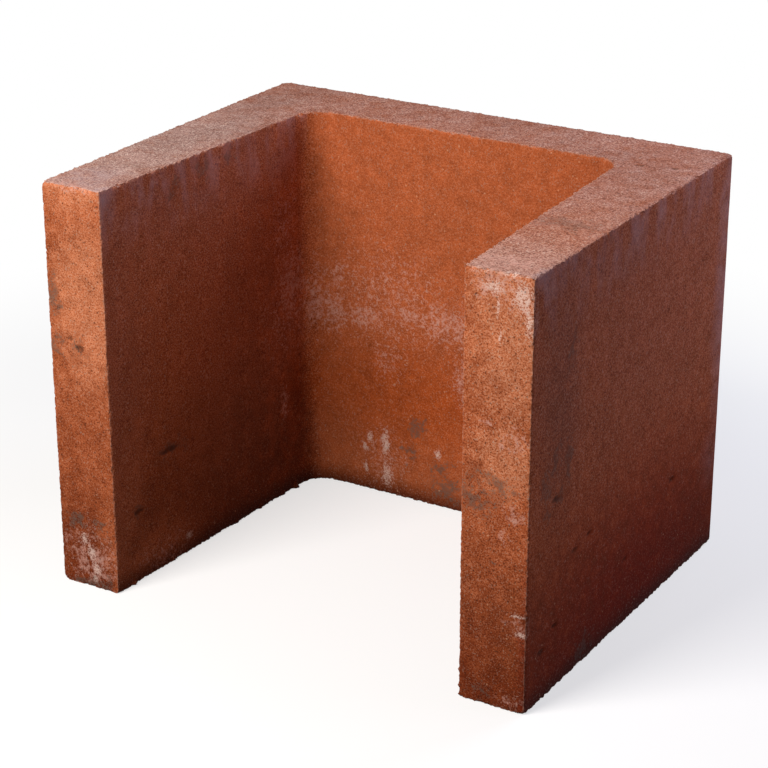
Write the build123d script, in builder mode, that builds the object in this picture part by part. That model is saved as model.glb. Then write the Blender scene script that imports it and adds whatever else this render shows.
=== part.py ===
"""U-shaped concrete retaining block, cast upright in one piece.

The block stands on its base with the U seen from above: a back wall and two legs that
run forward from it. The origin is at the middle of the base, +Z is up, the legs point
to -Y and the width runs along X. All sizes are in millimetres.
"""

from build123d import *
import os

# Overall size as the block stands
width = 500.0
depth = 400.0
height = 400.0

# Walls: each leg thins from its root at the back wall to its end
back_wall = 75.0
leg_root = 80.0
leg_end = 65.0

# Rounding of the mould's upright corners, and of the worn edges of top and base
inner_corner_radius = 25.0
back_edge_radius = 5.0
leg_edge_radius = 2.0
arris_radius = 1.5

# Places that follow from the sizes above
front = -depth / 2
hollow_back = depth / 2 - back_wall
half_mouth = width / 2 - leg_end
half_root = width / 2 - leg_root

with BuildPart() as u_block:
    # The section seen from above: a rectangle with the tapered hollow taken out of its front
    with BuildSketch() as section:
        Rectangle(width, depth)
        with BuildLine():
            Polyline(
                (-half_mouth, front),
                (-half_root, hollow_back),
                (half_root, hollow_back),
                (half_mouth, front),
                close=True,
            )
        make_face(mode=Mode.SUBTRACT)

        leg_corners, hollow_corners, back_corners = section.vertices().group_by(Axis.Y)
        fillet(hollow_corners, inner_corner_radius)
        fillet(leg_corners, leg_edge_radius)
        fillet(back_corners, back_edge_radius)
    extrude(amount=height)

    # The edges round the top and the base are rubbed off a little all the way round
    fillet(u_block.faces().filter_by(Axis.Z).edges(), arris_radius)

u_block.part.label = "u_block"

os.makedirs("parts", exist_ok=True)
export_step(u_block.part, "parts/u_block.step")
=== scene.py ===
"""Looks for the U-shaped concrete retaining block: one dry-cast piece, red right through, with
crumbled edges, sandy grain, lime bloom and yard dirt."""

import math

import bmesh
import bpy
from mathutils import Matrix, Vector, kdtree, noise


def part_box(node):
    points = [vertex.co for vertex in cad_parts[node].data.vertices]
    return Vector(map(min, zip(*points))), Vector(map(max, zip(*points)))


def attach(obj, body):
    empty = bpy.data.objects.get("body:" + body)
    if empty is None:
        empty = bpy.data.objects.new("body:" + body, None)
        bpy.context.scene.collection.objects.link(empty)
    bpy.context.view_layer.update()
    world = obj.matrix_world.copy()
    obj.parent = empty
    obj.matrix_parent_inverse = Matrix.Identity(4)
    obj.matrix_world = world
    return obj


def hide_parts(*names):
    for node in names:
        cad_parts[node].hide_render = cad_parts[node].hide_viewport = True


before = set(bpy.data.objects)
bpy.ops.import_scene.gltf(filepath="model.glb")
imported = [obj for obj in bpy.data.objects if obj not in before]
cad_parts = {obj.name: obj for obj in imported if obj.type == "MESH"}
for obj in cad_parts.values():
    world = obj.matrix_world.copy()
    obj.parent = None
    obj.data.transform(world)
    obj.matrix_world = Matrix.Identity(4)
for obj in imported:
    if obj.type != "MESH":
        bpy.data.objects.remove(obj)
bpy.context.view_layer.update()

MM = 0.001
low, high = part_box("u_block")

# The cast section, in millimetres
LEG_END = 65
LEG_ROOT = 80
BACK_WALL = 75
HOLLOW_RADIUS = 25
BACK_RADIUS = 5
LEG_EDGE_RADIUS = 1.2

# Places in the section, in metres
half_mouth = high.x - LEG_END * MM
half_root = high.x - LEG_ROOT * MM
hollow_back = high.y - BACK_WALL * MM
HOLLOW_CORNERS = [(-half_root, hollow_back), (half_root, hollow_back)]
MOUTH_CORNERS = [(-half_mouth, low.y), (half_mouth, low.y)]
FRONT_CORNERS = [(low.x, low.y), (high.x, low.y)]
BACK_CORNERS = [(high.x, high.y), (low.x, high.y)]
OUTLINE = [
    FRONT_CORNERS[0],
    MOUTH_CORNERS[0],
    *HOLLOW_CORNERS,
    MOUTH_CORNERS[1],
    FRONT_CORNERS[1],
    *BACK_CORNERS,
]


# Places for marks: each function takes millimetres along a face, then half the mark's size, and
# gives the mark's middle and its reach each way in metres

SKIN = 12           # mm that a mark reaches into its face


def on_back_wall(x, z, half_x, half_z):
    """A mark on the hollow's back wall."""
    return Vector((x * MM, hollow_back, z * MM)), Vector((half_x, SKIN, half_z)) * MM


def on_leg_end(x, z, half_x, half_z):
    """A mark on the front end of a leg."""
    return Vector((x * MM, low.y, z * MM)), Vector((half_x, SKIN, half_z)) * MM


def on_right_side(y, z, half_y, half_z):
    """A mark on the outside of the right leg."""
    return Vector((high.x, y * MM, z * MM)), Vector((SKIN, half_y, half_z)) * MM


def in_left_leg(y, z, half_y, half_z):
    """A mark on the inside of the left leg, which leans with its taper."""
    share = (y * MM - low.y) / (hollow_back - low.y)
    x = -half_mouth + (half_mouth - half_root) * share
    return Vector((x, y * MM, z * MM)), Vector((SKIN, half_y, half_z)) * MM


def in_left_corner(z, half_z):
    """A mark on the round of the hollow's left back corner."""
    inward = HOLLOW_RADIUS * MM * (1 - math.sqrt(0.5))
    middle = Vector((-half_root + inward, hollow_back - inward, z * MM))
    return middle, Vector((HOLLOW_RADIUS, HOLLOW_RADIUS, half_z)) * MM


def on_top(x, y, half_x, half_y):
    """A mark on the top."""
    return Vector((x * MM, y * MM, high.z)), Vector((half_x, half_y, SKIN)) * MM


# Dents: marks with their depth in millimetres
DENTS = [
    (*on_right_side(-82, 125, 9, 4), 2.0),
    (*on_right_side(-111, 121, 10, 4), 1.6),
    (*on_right_side(-146, 63, 9, 4), 2.0),
    (*on_right_side(-171, 49, 10, 4), 1.6),
    (*on_right_side(-5, 66, 8, 4), 1.6),
    (*on_right_side(94, 107, 10, 5), 2.0),
    (*on_right_side(-150, 186, 14, 5), 1.2),
    (*in_left_leg(-115, 119, 24, 5), 1.2),
    (*in_left_leg(-164, 73, 12, 4), 1.4),
    (*on_leg_end(-216, 244, 7, 6), 1.4),
    (*on_leg_end(-226, 252, 4, 4), 1.4),
    (*on_top(1, 141, 7, 5), 1.6),
    (*on_top(190, 121, 5, 4), 1.4),
    (*on_top(222, 129, 6, 4), 1.4),
]

# Crumbs and burrs: marks with the way they stand out and their height in millimetres
RIGHT = Vector((1, 0, 0))
LEFT = -RIGHT
CRUMBS = [
    (*in_left_leg(88, 2, 6, 6), RIGHT, 4.0),
    (*in_left_leg(66, 1, 5, 4), RIGHT, 2.5),
    (*in_left_leg(28, 1, 5, 4), RIGHT, 2.0),
    (*in_left_leg(-13, 1, 6, 4), RIGHT, 2.0),
    (*in_left_leg(-116, 1, 5, 4), RIGHT, 2.0),
    (*in_left_leg(-176, 1, 6, 4), RIGHT, 2.5),
    (*on_leg_end(185, 27, 4, 2), LEFT, 1.2),
    (*on_leg_end(185, 11, 4, 2), LEFT, 1.4),
    (*on_leg_end(185, 2, 4, 2), LEFT, 1.0),
]

# Corners knocked off in handling: a corner of the section, top or base, then the reach and depth in
# millimetres
KNOCKED_CORNERS = [
    (FRONT_CORNERS[0], high.z, 7, 1.4),
    (FRONT_CORNERS[0], low.z, 7, 1.6),
    (FRONT_CORNERS[1], high.z, 6, 1.0),
    (FRONT_CORNERS[1], low.z, 5, 0.8),
    (BACK_CORNERS[0], high.z, 6, 1.0),
    (BACK_CORNERS[0], low.z, 6, 1.0),
    (BACK_CORNERS[1], high.z, 7, 1.2),
    (BACK_CORNERS[1], low.z, 12, 2.6),
]


# Shape: the cast block

def round_edges(bm, edges, radius, segments):
    """Rounds a set of edges to a radius in millimetres."""
    bmesh.ops.bevel(
        bm,
        geom=edges,
        offset=radius * MM,
        offset_type="OFFSET",
        segments=segments,
        profile=0.5,
        affect="EDGES",
        material=-1,
    )


def upright_edges(bm, corners):
    """The upright edges that stand on some corners of the section."""
    places = [Vector(corner) for corner in corners]
    found = []
    for edge in bm.edges:
        foot, head = (vert.co.xy for vert in edge.verts)
        if (foot - head).length < 1e-6 and any((foot - place).length < 1e-6 for place in places):
            found.append(edge)
    return found


def cast_block():
    """The block as it leaves the mould: the section drawn up to its height, its upright edges rounded."""
    bm = bmesh.new()
    section = bm.faces.new([bm.verts.new((x, y, low.z)) for x, y in OUTLINE])
    drawn = bmesh.ops.extrude_face_region(bm, geom=[section])["geom"]
    rise = [item for item in drawn if isinstance(item, bmesh.types.BMVert)]
    bmesh.ops.translate(bm, verts=rise, vec=(0, 0, high.z - low.z))
    bmesh.ops.recalc_face_normals(bm, faces=bm.faces[:])
    round_edges(bm, upright_edges(bm, HOLLOW_CORNERS), HOLLOW_RADIUS, 12)
    round_edges(bm, upright_edges(bm, BACK_CORNERS), BACK_RADIUS, 4)
    round_edges(bm, upright_edges(bm, MOUTH_CORNERS + FRONT_CORNERS), LEG_EDGE_RADIUS, 3)
    return bm


# Shape: points for the weather to move

GRID = 10           # mm between points in the middle of a face
WELD = 0.2          # mm within which a cut takes the point that is there
LEVEL = 0.95        # upward share of a point's facing from which it lies in the top or the base
# Steps of splitting: mm from the top and base edges, mm from the upright edges, a dent's reach times
# this, and the longest edge in mm that is left
FINE_STEPS = [
    (20, 14, 2.5, 5.5),
    (8, 6, 1.8, 2.8),
    (3.2, 2.6, 1.2, 1.4),
]


def split_large(bm):
    """Leaves only three- and four-sided faces."""
    bmesh.ops.triangulate(bm, faces=[face for face in bm.faces if len(face.verts) > 4])


def cut_grid(bm):
    """Cuts the block by planes across X, Y and Z, a grid apart."""
    for axis in range(3):
        across = Vector((axis == 0, axis == 1, axis == 2))
        count = round((high[axis] - low[axis]) / (GRID * MM))
        for step in range(1, count):
            place = low[axis] + (high[axis] - low[axis]) * step / count
            bmesh.ops.bisect_plane(
                bm,
                geom=bm.verts[:] + bm.edges[:] + bm.faces[:],
                dist=WELD * MM,
                plane_co=across * place,
                plane_no=across,
            )
    split_large(bm)


def rim_finder(bm):
    """A finder for the nearest point of the top and base edges, with the way those points face."""
    bm.normal_update()
    rim = [
        (vert.co.copy(), vert.normal.copy())
        for vert in bm.verts
        if 0.3 < abs(vert.normal.z) < LEVEL
    ]
    tree = kdtree.KDTree(len(rim))
    for index, (place, _) in enumerate(rim):
        tree.insert(place, index)
    tree.balance()
    return tree, [facing for _, facing in rim]


def upright_distance(place):
    """How far a point is from the nearest sharp upright edge."""
    corners = MOUTH_CORNERS + FRONT_CORNERS + BACK_CORNERS
    return min((place.xy - Vector(corner)).length for corner in corners)


def mark_distance(place, middle, reach):
    """How far a point is from a mark's middle, in reaches of the mark."""
    return math.hypot(*((place[axis] - middle[axis]) / reach[axis] for axis in range(3)))


def refine(bm):
    """Splits the faces along the edges and at the dents, so that crumbling has points to move."""
    for rim_reach, upright_reach, dent_reach, longest in FINE_STEPS:
        tree, _ = rim_finder(bm)
        edges = set()
        for face in bm.faces:
            middle = face.calc_center_median()
            if (
                tree.find(middle)[2] < rim_reach * MM
                or upright_distance(middle) < upright_reach * MM
                or any(mark_distance(middle, *mark[:2]) < dent_reach for mark in DENTS + CRUMBS)
            ):
                edges.update(edge for edge in face.edges if edge.calc_length() > longest * MM)
        bmesh.ops.subdivide_edges(bm, edges=list(edges), cuts=1, use_grid_fill=True)
        split_large(bm)


# Shape: what casting, handling and weather did

COARSE_SAND = 4.0       # mm, the runs of grains that drop out of an edge together
FINE_SAND = 2.2         # mm, the single grains that drop out
BOW = 0.3               # mm that the faces wave
BOW_SPAN = 60           # mm from wave to wave
COARSE_LOSS = 1.5       # mm off a top or base edge where a run of grains has gone
FINE_LOSS = 0.8         # mm more where a single grain has gone
RIM_REACH = 2.8         # mm from a top or base edge that is drawn paler
UPRIGHT_LOSS = 0.6      # share of that loss on the upright edges
UPRIGHT_REACH = 3.5     # mm from an upright edge that it reaches
PALE_EDGE_REACH = 3           # mm from a top or base edge that is rubbed pale
KNOCK_SHARE = 0.6       # share of a knocked corner's depth that it loses each way
DENT_ROUGHNESS = 4      # mm, the lumps in a dent's floor
CRUMB_ROUGHNESS = 3     # mm, the lumps in a crumb
OTHER_GRAINS = Vector((0.3, 0.1, 0.7))      # metres to other grains, for the loss off the top and base


def fade(distance, reach):
    """1 at a place, falling smoothly to 0 at a reach from it."""
    share = max(0.0, 1.0 - distance / reach)
    return share * share * (3.0 - 2.0 * share)


def rough(place, size, octaves=3):
    """Noise from 0 to 1 with features of a size in millimetres."""
    value = noise.fractal(place / (size * MM), 0.7, 2.0, octaves, noise_basis="PERLIN_ORIGINAL")
    return min(1.0, max(0.0, 0.5 + 0.55 * value))


def grain_pick(place, size):
    """A random number from 0 to 1 for the grain that a place lies in."""
    nearest = noise.voronoi(place / (size * MM))[1][0]
    return 0.5 + 0.5 * noise.cell(nearest * 7.3)


def grain_loss(place):
    """The millimetres that dropped-out grains leave missing at a place on an edge."""
    runs = grain_pick(place, COARSE_SAND) ** 3
    singles = grain_pick(place, FINE_SAND) ** 2
    return COARSE_LOSS * runs + FINE_LOSS * singles


def weather(bm):
    """Moves every point by the block's waviness, crumbles its edges and presses in its dents."""
    tree, facings = rim_finder(bm)
    pale_edge = bm.verts.layers.float.new("pale_edge")
    moves = []
    for vert in bm.verts:
        place = vert.co
        _, index, rim_distance = tree.find(place)
        out = Vector((facings[index].x, facings[index].y, 0)).normalized()
        up = math.copysign(1.0, facings[index].z)
        upright = upright_distance(place)
        # The faces bow by a few tenths of a millimetre, and the base stays flat
        move = vert.normal * (-BOW * rough(place, BOW_SPAN))
        if vert.normal.z < -LEVEL:
            move = Vector()
        # Grains are missing along the top and base edges
        near_rim = fade(rim_distance, RIM_REACH * MM)
        if near_rim > 0:
            move -= out * near_rim * grain_loss(place)
            move.z -= up * near_rim * grain_loss(place + OTHER_GRAINS)
        # The upright edges lose fewer grains
        near_upright = fade(upright, UPRIGHT_REACH * MM)
        if near_upright > 0:
            move -= vert.normal * (near_upright * UPRIGHT_LOSS * grain_loss(place))
        # Handling knocked corners off, left dents and left crumbs
        for corner, height, reach, depth in KNOCKED_CORNERS:
            tip = Vector((*corner, height))
            inward = Vector((-tip.x, -tip.y, 0)).normalized()
            inward.z = -1 if height > low.z else 1
            move += inward * (depth * KNOCK_SHARE * fade((place - tip).length, reach * MM))
        for middle, reach, depth in DENTS:
            press = fade(mark_distance(place, middle, reach), 1.0)
            if press > 0:
                move -= vert.normal * (depth * press * (0.6 + 0.8 * rough(place, DENT_ROUGHNESS)))
        for middle, reach, way, height in CRUMBS:
            lump = fade(mark_distance(place, middle, reach), 1.0)
            if lump > 0:
                move += way * (height * lump * (0.5 + rough(place, CRUMB_ROUGHNESS)))
        vert[pale_edge] = max(near_upright, fade(rim_distance, PALE_EDGE_REACH * MM))
        moves.append((vert, move * MM))
    for vert, move in moves:
        vert.co += move
        vert.co.z = max(vert.co.z, low.z)


SHARP_ANGLE = 40        # degrees from which an edge is shaded sharp


def u_block():
    """The finished block as an object."""
    bm = cast_block()
    cut_grid(bm)
    refine(bm)
    weather(bm)
    bm.normal_update()
    mesh = bpy.data.meshes.new("u_block_cast")
    bm.to_mesh(mesh)
    bm.free()
    mesh.polygons.foreach_set("use_smooth", [True] * len(mesh.polygons))
    mesh.set_sharp_from_angle(angle=math.radians(SHARP_ANGLE))
    block = bpy.data.objects.new("u_block_cast", mesh)
    bpy.context.scene.collection.objects.link(block)
    return block


# Finish: helpers

def hex_colour(code):
    """An sRGB hex colour as linear red, green, blue and alpha."""
    channels = [int(code[i:i + 2], 16) / 255 for i in (1, 3, 5)]
    linear = [c / 12.92 if c <= 0.04045 else ((c + 0.055) / 1.055) ** 2.4 for c in channels]
    return (*linear, 1.0)


def add(tree, kind, inputs=None, stops=None, **settings):
    """Adds a node to a tree, with its settings and ramp stops, and gives its inputs values or links."""
    node = tree.nodes.new("ShaderNode" + kind)
    for name, value in settings.items():
        setattr(node, name, value)
    for key, value in (inputs or {}).items():
        if isinstance(value, bpy.types.NodeSocket):
            tree.links.new(value, node.inputs[key])
        else:
            node.inputs[key].default_value = value
    if stops:
        ramp = node.color_ramp.elements
        while len(ramp) < len(stops):
            ramp.new(1.0)
        for element, (place, colour) in zip(ramp, stops):
            element.position = place
            element.color = hex_colour(colour)
    return node


def per_metre(size):
    """The texture scale that gives features of a size in millimetres."""
    return 1.0 / (size * MM)


# Finish: where the marks of use lie

# Parts of the leg ends that are paler and chalky
CHALK = [
    on_leg_end(238, 390, 75, 200),
    on_leg_end(-205, 290, 60, 130),
    on_leg_end(-217, 405, 60, 50),
    on_leg_end(228, 235, 45, 50),
]

# Parts of the top with the most grey dust and painted sheen
TOP_DUST_AND_SHEEN = [
    on_top(-217, -60, 80, 330),
    on_top(217, -185, 90, 100),
]

# Part of the top that is swept down to paler sand
SWEPT = [
    on_top(217, -120, 90, 170),
]

# Wide, thin lime bloom, which fades out round the thick one
THIN_BLOOM = [
    on_back_wall(-80, 215, 160, 130),
    on_back_wall(-70, 205, 150, 90),
    in_left_corner(210, 110),
    on_back_wall(-82, 150, 44, 54),
    on_back_wall(0, 200, 90, 80),
    on_back_wall(-85, 40, 70, 70),
    in_left_leg(75, 195, 80, 100),
    in_left_leg(75, 290, 50, 90),
    in_left_leg(-130, 14, 80, 44),
    on_leg_end(222, 385, 56, 50),
    on_leg_end(236, 255, 26, 40),
    on_leg_end(-212, 40, 64, 70),
    on_leg_end(236, 10, 20, 22),
    on_leg_end(242, 86, 30, 26),
    on_top(217, -170, 60, 70),
    on_top(-217, -195, 50, 30),
]

# Thick lime bloom
LIME_BLOOM = [
    in_left_corner(200, 66),
    on_back_wall(-146, 192, 40, 56),
    on_back_wall(-106, 192, 58, 34),
    on_back_wall(-142, 232, 24, 34),
    on_back_wall(-56, 204, 38, 28),
    on_back_wall(-22, 202, 58, 52),
    on_back_wall(4, 200, 44, 48),
    on_back_wall(6, 145, 26, 54),
    on_back_wall(-84, 62, 12, 32),
    in_left_leg(85, 225, 46, 100),
    in_left_leg(72, 100, 16, 44),
    on_leg_end(210, 384, 26, 20),
    on_leg_end(217, 394, 60, 30),
    on_leg_end(240, 378, 26, 38),
    on_leg_end(236, 186, 22, 18),
    on_leg_end(226, 166, 16, 13),
    on_leg_end(207, 266, 9, 7),
    on_leg_end(222, 246, 8, 12),
    on_leg_end(-212, 26, 60, 54),
    on_leg_end(-194, 40, 22, 34),
    on_leg_end(-241, 44, 12, 26),
    on_top(217, -178, 80, 70),
    on_top(-217, -196, 46, 16),
]

# Spots and runs of white salt
WHITE_SALT = [
    on_back_wall(-82, 22, 11, 22),
    on_back_wall(-84, 56, 8, 24),
    on_back_wall(-103, 60, 6, 11),
    on_back_wall(-109, 48, 5, 8),
    on_back_wall(-108, 25, 4, 10),
    on_back_wall(-22, 58, 6, 9),
    on_leg_end(213, 386, 14, 9),
    on_leg_end(217, 368, 2.5, 18),
    on_leg_end(220, 345, 1.5, 10),
    on_leg_end(240, 381, 16, 22),
    on_leg_end(246, 362, 8, 24),
    on_leg_end(224, 399, 5, 4),
    on_leg_end(231, 399, 5, 4),
    on_leg_end(242, 94, 10, 3),
    on_leg_end(245, 77, 10, 5),
    on_leg_end(-222, 50, 7, 12),
    on_leg_end(-215, 36, 8, 13),
    on_leg_end(-210, 21, 7, 12),
    on_leg_end(-212, 9, 6, 9),
    in_left_leg(-90, 18, 8, 8),
]

# Patches of grey dirt from the yard
GREY_DIRT = [
    on_back_wall(-19, 44, 20, 14),
    on_back_wall(-57, 55, 14, 12),
    on_back_wall(-10, 22, 40, 22),
    on_back_wall(-45, 82, 20, 16),
    on_leg_end(202, 202, 36, 34),
    on_leg_end(222, 208, 26, 18),
    on_leg_end(205, 226, 9, 9),
    on_leg_end(217, 140, 12, 9),
    on_leg_end(207, 14, 22, 14),
    on_leg_end(-233, 67, 18, 16),
    on_leg_end(-203, 68, 17, 14),
    on_leg_end(-194, 54, 9, 10),
    on_leg_end(-217, 3, 36, 14),
    on_leg_end(-216, 244, 18, 19),
    on_leg_end(-243, 294, 13, 32),
    on_leg_end(-240, 245, 13, 18),
    on_right_side(-168, 205, 12, 26),
    on_right_side(-152, 222, 11, 34),
    on_right_side(-128, 214, 11, 38),
    on_right_side(-144, 188, 14, 20),
    on_right_side(-162, 180, 13, 16),
    on_right_side(-128, 315, 14, 34),
    on_right_side(-88, 16, 34, 18),
    on_top(214, -64, 56, 26),
    on_top(-211, -119, 12, 10),
    in_left_leg(-115, 119, 42, 11),
    in_left_leg(-164, 73, 18, 9),
    in_left_leg(-95, 372, 18, 16),
    in_left_leg(-52, 384, 20, 16),
    in_left_leg(-12, 388, 13, 11),
]

# A veil of lime and painted sheen over whole faces
LIME_FILM_AND_SHEEN = [
    on_right_side(60, 320, 600, 240),
    in_left_leg(-205, 230, 95, 420),
    in_left_leg(-60, 400, 320, 150),
]

# Edges and corners where that veil and its painted sheen are thicker
THICK_FILM_AND_SHEEN = [
    on_right_side(193, 260, 30, 200),
    on_right_side(184, 94, 34, 44),
    on_right_side(-185, 398, 30, 20),
    in_left_leg(-195, 390, 28, 36),
    on_top(-217, -175, 44, 60),
]

# The lower part of the right side, darker and redder: painted shade
LOW_SIDE_SHADE = [
    on_right_side(0, 0, 420, 240),
]

# The right leg's end, which is struck off rougher
ROUGH = [
    on_leg_end(217, 180, 90, 300),
]

# Places near the ground that stayed dry
DRY = [
    in_left_leg(-200, 110, 60, 260),
    in_left_leg(-140, 10, 110, 70),
    on_leg_end(-190, 60, 22, 70),
]

# A low band of the hollow's walls, darker and redder: painted shade
HOLLOW_LOW_SHADE = [
    on_back_wall(-50, 112, 230, 95),
    in_left_corner(112, 58),
    in_left_leg(95, 110, 40, 70),
]

# Parts with a dark veil of grime and painted shade
GRIME_AND_SHADE = [
    in_left_leg(10, 120, 175, 270),
    on_right_side(-145, 270, 60, 170),
]


def marks(tree, position, spots):
    """1 in the middle of any of some marks, falling to 0 at their rims."""
    nearest = None
    for middle, reach in spots:
        share = Vector((1 / reach.x, 1 / reach.y, 1 / reach.z))
        local = add(tree, "VectorMath", {0: position, 1: share, 2: -middle * share},
                    operation="MULTIPLY_ADD").outputs[0]
        away = add(tree, "VectorMath", {0: local}, operation="LENGTH").outputs["Value"]
        if nearest is None:
            nearest = away
        else:
            nearest = add(tree, "Math", {0: nearest, 1: away}, operation="MINIMUM").outputs[0]
    return add(tree, "MapRange", {"Value": nearest, "From Min": 1.0, "From Max": 0.1},
               interpolation_type="SMOOTHSTEP").outputs[0]


def speckled(tree, cover, lacework, weight, start, full):
    """Breaks a mark up into specks: cover says where they crowd, lacework where each one lies."""
    thick = add(tree, "Math", {0: cover, 1: weight, 2: lacework}, operation="MULTIPLY_ADD").outputs[0]
    return add(tree, "MapRange", {"Value": thick, "From Min": start, "From Max": full},
               interpolation_type="SMOOTHSTEP").outputs[0]


# Finish: the concrete

# Pattern sizes in millimetres. The sand is 0 to 2 mm, finer than the picture shows, so the grain is drawn
# coarser, from 1.4 mm down
GRAIN = 1.4             # single grains
LACE = 3.2              # small groups of grains
WEB = 4.8               # flecks of bloom
MOTTLE = 14             # blotches left by filling the mould
RUN_WIDTH = 15          # runs of lime
CLOUD = 80              # broad changes in the pigment
PINHOLE_SPACING = 5
GRIT_SPACING = 13

# Ragged rims: the full swing of the mottle that shifts a mark, in millimetres
LARGE_MARK_SHIFT = 20
DIRT_SHIFT = 45
SMALL_MARK_SHIFT = 6

# Contrast between grains: on a smooth face, and how much other faces and marks add to it
SMOOTH_CONTRAST = 0.55
SIDE_CONTRAST = 0.58
TOP_CONTRAST = 0.8
END_CONTRAST = 0.36
ROUGH_CONTRAST = 0.2
LOW_SIDE_SHADE_CONTRAST = -0.4

# Heights in metres, and how deep in the block the leg ends start
LEG_END_DEPTH = (-0.1, -0.18)
RUN_HEIGHT = (0.33, 0.4)
SOIL_HEIGHT = (0.22, 0.02)
SOIL_WANDER = 0.06
CONTACT_SHADOW_HEIGHT = (0.026, 0.0)

# How much of a layer covers what lies under it where it is thickest
DUST_AND_SHEEN_COVER = 0.5
SWEPT_COVER = 0.3
GRIME_AND_SHADE_COVER = 0.28
FILM_AND_SHEEN_COVER = 0.04
THICK_FILM_AND_SHEEN_COVER = 0.26
RUN_COVER = 0.26
HOLLOW_LOW_SHADE_COVER = 0.8
THIN_BLOOM_COVER = 0.75
BLOOM_COVER = 0.68
SALT_COVER = 0.78
DIRT_COVER = 0.7
LESS_DIRT_ON_TOP = -0.3
LESS_DIRT_ON_SIDES = -0.2
DENT_SHADE_COVER = 0.65
PINHOLE_SHADE_COVER = 0.22
MORE_PINHOLE_SHADE_ON_ROUGH = 0.4
GRIT_COVER = 0.45
PALE_EDGE_COVER = 0.42

# How a layer breaks up into specks: the weight of its marks, then where a speck starts and is full
CHALK_SPECKS = (1.0, 0.35, 1.35)
BLOOM_SPECKS = (0.45, 1.25, 1.66)
SALT_SPECKS = (0.5, 0.92, 1.68)
DIRT_SPECKS = (0.52, 0.95, 1.42)
DENT_SHADE_SPECKS = (0.7, 1.0, 1.5)

# How far the tone swings to either side over the mottle and over the clouds
MOTTLE_SWING = 0.16
CLOUD_SWING = 0.1

# Shares of facing one way between which a face starts to count as turned that way, and counts in full
TURNED = (0.5, 0.9)

GRAIN_RELIEF = 0.6      # mm that the grain stands out
RUN_STRETCH = Vector((1.0, 1.0, 0.35))      # lime runs are drawn out downwards

# Colours of the grains, from the darkest to the palest
RED_GRAINS = [
    (0.2, "#562413"),
    (0.36, "#8A4224"),
    (0.5, "#A4532D"),
    (0.62, "#B1623D"),
    (0.75, "#B97858"),
    (0.9, "#C89A80"),
]
# Grains of the top: grey dust and a painted sheen
DUST_AND_SHEEN_GRAINS = [
    (0.2, "#6A4D45"),
    (0.4, "#8F6E65"),
    (0.5, "#9D7A70"),
    (0.6, "#AB897E"),
    (0.72, "#C1A498"),
    (0.85, "#D6C0B5"),
]
PALE_GRAINS = [
    (0.2, "#6A321C"),
    (0.36, "#A35A3A"),
    (0.5, "#C07450"),
    (0.62, "#CA8362"),
    (0.75, "#D5A084"),
    (0.9, "#E4C4B0"),
]


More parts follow.
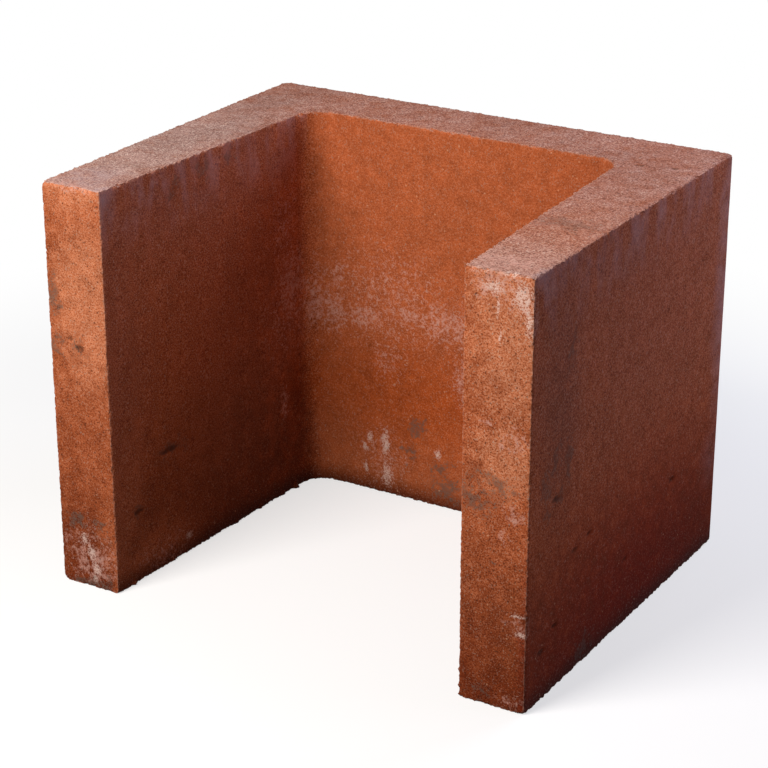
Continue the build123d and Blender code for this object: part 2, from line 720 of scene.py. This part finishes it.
def red_dry_cast_concrete():
    """Dry-cast concrete with red iron oxide through the whole mix. It is matt and sandy to the eye: each
    grain has its own red, the trowelled top is dusty pink with a painted sheen, lime has bloomed out in
    white lace, and the yard has left grey dirt."""
    material = bpy.data.materials.new("red_dry_cast_concrete")
    material.use_nodes = True
    tree = material.node_tree
    tree.nodes.clear()
    position = add(tree, "TexCoord").outputs["Object"]
    place = add(tree, "SeparateXYZ", {0: position}).outputs
    facing = add(tree, "SeparateXYZ", {0: add(tree, "NewGeometry").outputs["Normal"]}).outputs

    # Patterns that several layers share
    grain = add(tree, "TexNoise", {"Vector": position, "Scale": per_metre(GRAIN), "Detail": 1.0,
                                   "Roughness": 0.6}).outputs["Fac"]
    lace = add(tree, "TexNoise", {"Vector": position, "Scale": per_metre(LACE), "Detail": 2.0,
                                  "Roughness": 0.6}).outputs["Fac"]
    mottle = add(tree, "TexNoise", {"Vector": position, "Scale": per_metre(MOTTLE), "Detail": 2.0,
                                    "Roughness": 0.6}).outputs
    cloud = add(tree, "TexNoise", {"Vector": position, "Scale": per_metre(CLOUD),
                                   "Detail": 2.0}).outputs["Fac"]
    web = add(tree, "TexNoise", {"Vector": position, "Scale": per_metre(WEB), "Detail": 3.0,
                                 "Roughness": 0.7}).outputs["Fac"]
    web = add(tree, "Math", {0: lace, 1: 0.6, 2: web}, operation="MULTIPLY_ADD").outputs[0]
    web = add(tree, "Math", {0: grain, 1: 0.4, 2: web}, operation="MULTIPLY_ADD").outputs[0]
    stipple = add(tree, "Math", {0: lace, 1: 0.5}, operation="MULTIPLY").outputs[0]
    stipple = add(tree, "Math", {0: grain, 1: 1.2, 2: stipple}, operation="MULTIPLY_ADD").outputs[0]
    # Places shifted by the mottle, so that marks have ragged rims: most for dirt, least for small marks
    shift = add(tree, "VectorMath", {0: mottle["Color"], 1: (0.5, 0.5, 0.5)},
                operation="SUBTRACT").outputs[0]
    ragged, torn, steady = (
        add(tree, "VectorMath", {0: shift, 1: Vector((1, 1, 1)) * swing * MM, 2: position},
            operation="MULTIPLY_ADD").outputs[0]
        for swing in (LARGE_MARK_SHIFT, DIRT_SHIFT, SMALL_MARK_SHIFT)
    )

    # Which way a face was cast: the top was trowelled, the leg ends were struck off rough, and the
    # other faces lay against the smooth mould
    top = add(tree, "MapRange", {"Value": facing["Z"], "From Min": TURNED[0],
                                 "From Max": TURNED[1]}).outputs[0]
    front = add(tree, "MapRange", {"Value": facing["Y"], "From Min": -TURNED[0],
                                   "From Max": -TURNED[1]}).outputs[0]
    forward = add(tree, "MapRange", {"Value": place["Y"], "From Min": LEG_END_DEPTH[0],
                                     "From Max": LEG_END_DEPTH[1]}).outputs[0]
    end = add(tree, "Math", {0: front, 1: forward}, operation="MULTIPLY").outputs[0]
    sheltered = add(tree, "Math", {0: front, 1: end}, operation="SUBTRACT").outputs[0]
    coarse = add(tree, "Math", {0: top, 1: end}, operation="MAXIMUM").outputs[0]
    sideways = add(tree, "Math", {0: facing["X"]}, operation="ABSOLUTE").outputs[0]
    sideways = add(tree, "MapRange", {"Value": sideways, "From Min": TURNED[0],
                                      "From Max": TURNED[1]}).outputs[0]
    rightward = add(tree, "MapRange", {"Value": facing["X"], "From Min": TURNED[0],
                                       "From Max": TURNED[1]}).outputs[0]
    lengthways = add(tree, "Math", {0: facing["Y"]}, operation="ABSOLUTE").outputs[0]
    lengthways = add(tree, "MapRange", {"Value": lengthways, "From Min": TURNED[0],
                                        "From Max": TURNED[1]}).outputs[0]

    # Grains stand out most on the top, and least in the painted shade low on the right side
    low_side_shade = marks(tree, ragged, LOW_SIDE_SHADE)
    contrast = SMOOTH_CONTRAST
    for share, more in (
        (sideways, SIDE_CONTRAST),
        (top, TOP_CONTRAST),
        (end, END_CONTRAST),
        (marks(tree, ragged, ROUGH), ROUGH_CONTRAST),
        (low_side_shade, LOW_SIDE_SHADE_CONTRAST),
    ):
        contrast = add(tree, "Math", {0: share, 1: more, 2: contrast}, operation="MULTIPLY_ADD").outputs[0]
    spread = add(tree, "Math", {0: grain, 1: 0.5}, operation="SUBTRACT").outputs[0]
    pick = add(tree, "Math", {0: spread, 1: contrast, 2: 0.5}, operation="MULTIPLY_ADD").outputs[0]

    # Grains: red on the moulded faces, dusty with a painted sheen on the top, paler on the leg ends and
    # where the top is swept
    colour = add(tree, "ValToRGB", {0: pick}, stops=RED_GRAINS).outputs[0]
    dust_and_sheen_colour = add(tree, "ValToRGB", {0: pick}, stops=DUST_AND_SHEEN_GRAINS).outputs[0]
    pale = add(tree, "ValToRGB", {0: pick}, stops=PALE_GRAINS).outputs[0]
    dust_and_sheen = add(tree, "Math", {0: marks(tree, ragged, TOP_DUST_AND_SHEEN), 1: DUST_AND_SHEEN_COVER, 2: mottle["Fac"]},
               operation="MULTIPLY_ADD").outputs[0]
    dust_and_sheen = add(tree, "Math", {0: dust_and_sheen, 1: top}, operation="MULTIPLY", use_clamp=True).outputs[0]
    colour = add(tree, "Mix", {0: dust_and_sheen, 6: colour, 7: dust_and_sheen_colour}, data_type="RGBA").outputs[2]
    chalk = speckled(tree, marks(tree, ragged, CHALK), mottle["Fac"], *CHALK_SPECKS)
    chalk = add(tree, "Math", {0: chalk, 1: end}, operation="MULTIPLY").outputs[0]
    swept = add(tree, "Math", {0: marks(tree, ragged, SWEPT), 1: SWEPT_COVER},
                operation="MULTIPLY").outputs[0]
    swept = add(tree, "Math", {0: swept, 1: top}, operation="MULTIPLY").outputs[0]
    chalk = add(tree, "Math", {0: chalk, 1: swept}, operation="MAXIMUM").outputs[0]
    colour = add(tree, "Mix", {0: chalk, 6: colour, 7: pale}, data_type="RGBA").outputs[2]

    # Painted shade darkens the leg ends a little, and pigment and packing are uneven everywhere
    colour = add(tree, "Mix", {0: end, 6: colour, 7: hex_colour("#F1ECE6")}, data_type="RGBA",
                 blend_type="MULTIPLY").outputs[2]
    for pattern, swing in ((mottle["Fac"], MOTTLE_SWING), (cloud, CLOUD_SWING)):
        tone = add(tree, "MapRange", {"Value": pattern, "From Min": 0.25, "From Max": 0.75,
                                      "To Min": 1 - swing, "To Max": 1 + swing}).outputs[0]
        colour = add(tree, "Mix", {0: 1.0, 6: colour, 7: tone}, data_type="RGBA",
                     blend_type="MULTIPLY").outputs[2]

    # Grime and painted shade deep inside the hollow and by the right leg's front
    grime_and_shade = add(tree, "Math", {0: marks(tree, ragged, GRIME_AND_SHADE), 1: GRIME_AND_SHADE_COVER},
                operation="MULTIPLY").outputs[0]
    colour = add(tree, "Mix", {0: grime_and_shade, 6: colour, 7: hex_colour("#3C3230")}, data_type="RGBA").outputs[2]

    # A thin lime film with a painted sheen, thicker in places, that has run down from the top of the faces
    # that look right
    film_and_sheen = add(tree, "Math", {0: marks(tree, ragged, LIME_FILM_AND_SHEEN), 1: FILM_AND_SHEEN_COVER},
               operation="MULTIPLY").outputs[0]
    film_and_sheen = add(tree, "Math", {0: marks(tree, ragged, THICK_FILM_AND_SHEEN), 1: THICK_FILM_AND_SHEEN_COVER, 2: film_and_sheen},
               operation="MULTIPLY_ADD").outputs[0]
    stretched = add(tree, "VectorMath", {0: position, 1: RUN_STRETCH}, operation="MULTIPLY").outputs[0]
    runs = add(tree, "TexNoise", {"Vector": stretched, "Scale": per_metre(RUN_WIDTH),
                                  "Detail": 2.0}).outputs["Fac"]
    under = add(tree, "MapRange", {"Value": place["Z"], "From Min": RUN_HEIGHT[0],
                                   "From Max": RUN_HEIGHT[1], "To Max": RUN_COVER}).outputs[0]
    runs = add(tree, "MapRange", {"Value": runs, "From Min": 0.38, "From Max": 0.7, "To Max": under},
               interpolation_type="SMOOTHSTEP").outputs[0]
    runs = add(tree, "Math", {0: runs, 1: rightward}, operation="MULTIPLY").outputs[0]
    film_and_sheen = add(tree, "Math", {0: film_and_sheen, 1: runs}, operation="ADD").outputs[0]
    uneven = add(tree, "MapRange", {"Value": mottle["Fac"], "From Min": 0.3, "From Max": 0.7, "To Min": 0.5,
                                    "To Max": 1.5}).outputs[0]
    film_and_sheen = add(tree, "Math", {0: film_and_sheen, 1: uneven}, operation="MULTIPLY").outputs[0]
    film_and_sheen = add(tree, "Math", {0: film_and_sheen, 1: lengthways}, operation="SUBTRACT", use_clamp=True).outputs[0]
    colour = add(tree, "Mix", {0: film_and_sheen, 6: colour, 7: hex_colour("#A8949A")}, data_type="RGBA").outputs[2]

    # Damp soil colour near the ground, none on the sheltered back wall or where the block stayed dry
    height = add(tree, "Math", {0: mottle["Fac"], 1: SOIL_WANDER, 2: place["Z"]},
                 operation="MULTIPLY_ADD").outputs[0]
    soil = add(tree, "MapRange", {"Value": height, "From Min": SOIL_HEIGHT[0], "From Max": SOIL_HEIGHT[1]},
               interpolation_type="SMOOTHSTEP").outputs[0]
    for spared in (sheltered, marks(tree, ragged, DRY)):
        soil = add(tree, "Math", {0: soil, 1: spared}, operation="SUBTRACT", use_clamp=True).outputs[0]
    colour = add(tree, "Mix", {0: soil, 6: colour, 7: hex_colour("#B49670")}, data_type="RGBA",
                 blend_type="MULTIPLY").outputs[2]

    # A painted contact shadow along the ground, not on the leg ends, and painted shade on the lower part of
    # the right side
    contact_shadow = add(tree, "MapRange", {"Value": place["Z"], "From Min": CONTACT_SHADOW_HEIGHT[0],
                                    "From Max": CONTACT_SHADOW_HEIGHT[1]},
                 interpolation_type="SMOOTHSTEP").outputs[0]
    contact_shadow = add(tree, "Math", {0: contact_shadow, 1: end}, operation="SUBTRACT", use_clamp=True).outputs[0]
    colour = add(tree, "Mix", {0: contact_shadow, 6: colour, 7: hex_colour("#948478")}, data_type="RGBA",
                 blend_type="MULTIPLY").outputs[2]
    colour = add(tree, "Mix", {0: low_side_shade, 6: colour, 7: hex_colour("#E09882")}, data_type="RGBA",
                 blend_type="MULTIPLY").outputs[2]

    # Painted shade on a low band of the hollow's walls
    hollow_low_shade = add(tree, "Math", {0: marks(tree, ragged, HOLLOW_LOW_SHADE), 1: HOLLOW_LOW_SHADE_COVER},
                operation="MULTIPLY").outputs[0]
    colour = add(tree, "Mix", {0: hollow_low_shade, 6: colour, 7: hex_colour("#EED092")}, data_type="RGBA",
                 blend_type="MULTIPLY").outputs[2]

    # Lime bloom in soft flecks that thin out all round, and a stipple of salt in its thickest spots
    thin = add(tree, "Math", {0: marks(tree, ragged, THIN_BLOOM), 1: THIN_BLOOM_COVER},
               operation="MULTIPLY").outputs[0]
    cover = add(tree, "Math", {0: marks(tree, ragged, LIME_BLOOM), 1: thin}, operation="MAXIMUM").outputs[0]
    bloom = speckled(tree, cover, web, *BLOOM_SPECKS)
    bloom = add(tree, "Math", {0: bloom, 1: BLOOM_COVER}, operation="MULTIPLY").outputs[0]
    colour = add(tree, "Mix", {0: bloom, 6: colour, 7: hex_colour("#C89586")}, data_type="RGBA").outputs[2]
    salt = speckled(tree, marks(tree, steady, WHITE_SALT), stipple, *SALT_SPECKS)
    salt = add(tree, "Math", {0: salt, 1: SALT_COVER}, operation="MULTIPLY").outputs[0]
    colour = add(tree, "Mix", {0: salt, 6: colour, 7: hex_colour("#E0C6BA")}, data_type="RGBA").outputs[2]

    # Grey yard dirt, thinner on the top and the sides
    dirt = speckled(tree, marks(tree, torn, GREY_DIRT), stipple, *DIRT_SPECKS)
    thickness = DIRT_COVER
    for share, less in ((top, LESS_DIRT_ON_TOP), (sideways, LESS_DIRT_ON_SIDES)):
        thickness = add(tree, "Math", {0: share, 1: less, 2: thickness}, operation="MULTIPLY_ADD").outputs[0]
    dirt = add(tree, "Math", {0: dirt, 1: thickness}, operation="MULTIPLY").outputs[0]
    colour = add(tree, "Mix", {0: dirt, 6: colour, 7: hex_colour("#564A42")}, data_type="RGBA").outputs[2]

    # Painted shade inside the dents
    dent_shade = speckled(tree, marks(tree, steady, [dent[:2] for dent in DENTS]), stipple, *DENT_SHADE_SPECKS)
    dent_shade = add(tree, "Math", {0: dent_shade, 1: DENT_SHADE_COVER}, operation="MULTIPLY").outputs[0]
    colour = add(tree, "Mix", {0: dent_shade, 6: colour, 7: hex_colour("#2E1A12")}, data_type="RGBA").outputs[2]

    # Painted shade in pinholes, deepest on the rough faces
    pinhole_shade = add(tree, "TexVoronoi", {"Vector": position,
                                    "Scale": per_metre(PINHOLE_SPACING)}).outputs["Distance"]
    deep = add(tree, "Math", {0: coarse, 1: MORE_PINHOLE_SHADE_ON_ROUGH, 2: PINHOLE_SHADE_COVER},
               operation="MULTIPLY_ADD").outputs[0]
    pinhole_shade = add(tree, "MapRange", {"Value": pinhole_shade, "From Min": 0.25, "From Max": 0.08, "To Max": deep},
               interpolation_type="SMOOTHSTEP").outputs[0]
    colour = add(tree, "Mix", {0: pinhole_shade, 6: colour, 7: hex_colour("#3B1D12")}, data_type="RGBA").outputs[2]

    # Single pale grains of grit
    grit = add(tree, "TexVoronoi", {"Vector": position,
                                    "Scale": per_metre(GRIT_SPACING)}).outputs["Distance"]
    grit = add(tree, "MapRange", {"Value": grit, "From Min": 0.1, "From Max": 0.04, "To Max": GRIT_COVER},
               interpolation_type="SMOOTHSTEP").outputs[0]
    colour = add(tree, "Mix", {0: grit, 6: colour, 7: hex_colour("#D09A78")}, data_type="RGBA").outputs[2]

    # The edges are paler
    pale_edge = add(tree, "Attribute", attribute_name="pale_edge").outputs["Fac"]
    pale_edge = add(tree, "Math", {0: pale_edge, 1: lace}, operation="MULTIPLY").outputs[0]
    pale_edge = add(tree, "MapRange", {"Value": pale_edge, "From Min": 0.25, "From Max": 0.65,
                                  "To Max": PALE_EDGE_COVER}).outputs[0]
    colour = add(tree, "Mix", {0: pale_edge, 6: colour, 7: hex_colour("#BC8E7A")}, data_type="RGBA").outputs[2]

    # The grain is felt as well as seen, and nothing shines
    bump = add(tree, "Bump", {"Strength": 0.5, "Distance": GRAIN_RELIEF * MM, "Height": grain}).outputs[0]
    shader = add(tree, "BsdfPrincipled", {"Base Color": colour, "Roughness": 0.92,
                                          "Specular IOR Level": 0.12, "Normal": bump})
    add(tree, "OutputMaterial", {"Surface": shader.outputs[0]})
    return material


# Stage: floor, light and camera

def white_to_the_eye(tree):
    """1 for rays that show the background: from the camera, and through gloss or glass."""
    path = add(tree, "LightPath").outputs
    seen = add(tree, "Math", {0: path["Is Camera Ray"], 1: path["Is Glossy Ray"]}, operation="MAXIMUM")
    seen = add(tree, "Math", {0: seen.outputs[0], 1: path["Is Transmission Ray"]}, operation="MAXIMUM")
    return seen.outputs[0]


FLOOR_HALF = 8.0            # metres, well past the edges of the picture
SHADOW_REACH = (0.4, 1.0)   # metres from the middle within which the floor shows the shadow, fading out
SHADOW_SHARE = 0.4          # share of the floor's own shade that the camera sees there


def studio_floor():
    """A pale floor that the camera sees as white with a soft shadow, and that throws little light back."""
    bm = bmesh.new()
    bmesh.ops.create_grid(bm, x_segments=1, y_segments=1, size=FLOOR_HALF)
    mesh = bpy.data.meshes.new("floor")
    bm.to_mesh(mesh)
    bm.free()
    floor = bpy.data.objects.new("floor", mesh)
    bpy.context.scene.collection.objects.link(floor)
    material = bpy.data.materials.new("pale_studio_floor")
    material.use_nodes = True
    tree = material.node_tree
    tree.nodes.clear()
    away = add(tree, "VectorMath", {0: add(tree, "TexCoord").outputs["Object"]}, operation="LENGTH")
    near = add(tree, "MapRange", {"Value": away.outputs["Value"], "From Min": SHADOW_REACH[1],
                                  "From Max": SHADOW_REACH[0], "To Max": SHADOW_SHARE},
               interpolation_type="SMOOTHSTEP")
    paper = add(tree, "BsdfDiffuse", {"Color": hex_colour("#F8F8F8")})
    glow = add(tree, "Emission", {"Color": hex_colour("#FFFFFF"), "Strength": 1.0})
    shown = add(tree, "MixShader", {0: near.outputs[0], 1: glow.outputs[0], 2: paper.outputs[0]})
    dark = add(tree, "BsdfDiffuse", {"Color": hex_colour("#808080")})
    mix = add(tree, "MixShader", {0: white_to_the_eye(tree), 1: dark.outputs[0], 2: shown.outputs[0]})
    add(tree, "OutputMaterial", {"Surface": mix.outputs[0]})
    mesh.materials.append(material)


def soft_sky():
    """A little cool light from all round, white where the camera sees it."""
    world = bpy.data.worlds.new("soft_sky")
    bpy.context.scene.world = world
    world.use_nodes = True
    tree = world.node_tree
    tree.nodes.clear()
    dim = add(tree, "Background", {"Color": hex_colour("#E6ECFF"), "Strength": 0.06})
    white = add(tree, "Background", {"Color": hex_colour("#FFFFFF"), "Strength": 1.0})
    mix = add(tree, "MixShader", {0: white_to_the_eye(tree), 1: dim.outputs[0], 2: white.outputs[0]})
    add(tree, "OutputWorld", {"Surface": mix.outputs[0]})


LAMP_AIM = Vector((0, 0, (low.z + high.z) / 2))


def softbox(name, azimuth, elevation, distance, size, watts, colour):
    """A square soft lamp that points at the block. Azimuth 0 is in front of it, and 90 to its right."""
    lamp = bpy.data.lights.new(name, "AREA")
    lamp.size = size
    lamp.energy = watts
    lamp.color = hex_colour(colour)[:3]
    holder = bpy.data.objects.new(name, lamp)
    turn = math.radians(azimuth)
    rise = math.radians(elevation)
    away = Vector((math.sin(turn) * math.cos(rise), -math.cos(turn) * math.cos(rise), math.sin(rise)))
    holder.location = LAMP_AIM + away * distance
    holder.rotation_euler = away.to_track_quat("Z", "Y").to_euler()
    bpy.context.scene.collection.objects.link(holder)


CAMERA_AIM = Vector((-0.0037, -0.0117, 0.1885))
CAMERA_DISTANCE = 2.18
CAMERA_AZIMUTH = 31.046
CAMERA_ELEVATION = 22.482
CAMERA_LENS = 107.94
CAMERA_SENSOR = 36.0


def camera():
    """A camera at the photograph's angle and distance."""
    lens = bpy.data.cameras.new("camera")
    lens.lens = CAMERA_LENS
    lens.sensor_width = CAMERA_SENSOR
    holder = bpy.data.objects.new("camera", lens)
    holder.rotation_euler = (math.radians(90 - CAMERA_ELEVATION), 0.0, math.radians(CAMERA_AZIMUTH))
    back = holder.rotation_euler.to_matrix() @ Vector((0, 0, 1))
    holder.location = CAMERA_AIM + back * CAMERA_DISTANCE
    bpy.context.scene.collection.objects.link(holder)
    bpy.context.scene.camera = holder


block = u_block()
block.data.materials.append(red_dry_cast_concrete())
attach(block, "root")
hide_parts("u_block")

studio_floor()
soft_sky()
softbox("key", azimuth=-17, elevation=43, distance=1.75, size=0.78, watts=42, colour="#FFFAF4")
softbox("rim", azimuth=150, elevation=30, distance=1.0, size=0.6, watts=5.2, colour="#DCE4FF")
softbox("side", azimuth=105, elevation=25, distance=1.2, size=0.6, watts=1.75, colour="#E8CEF2")
camera()
bpy.context.scene.view_settings.view_transform = "Standard"
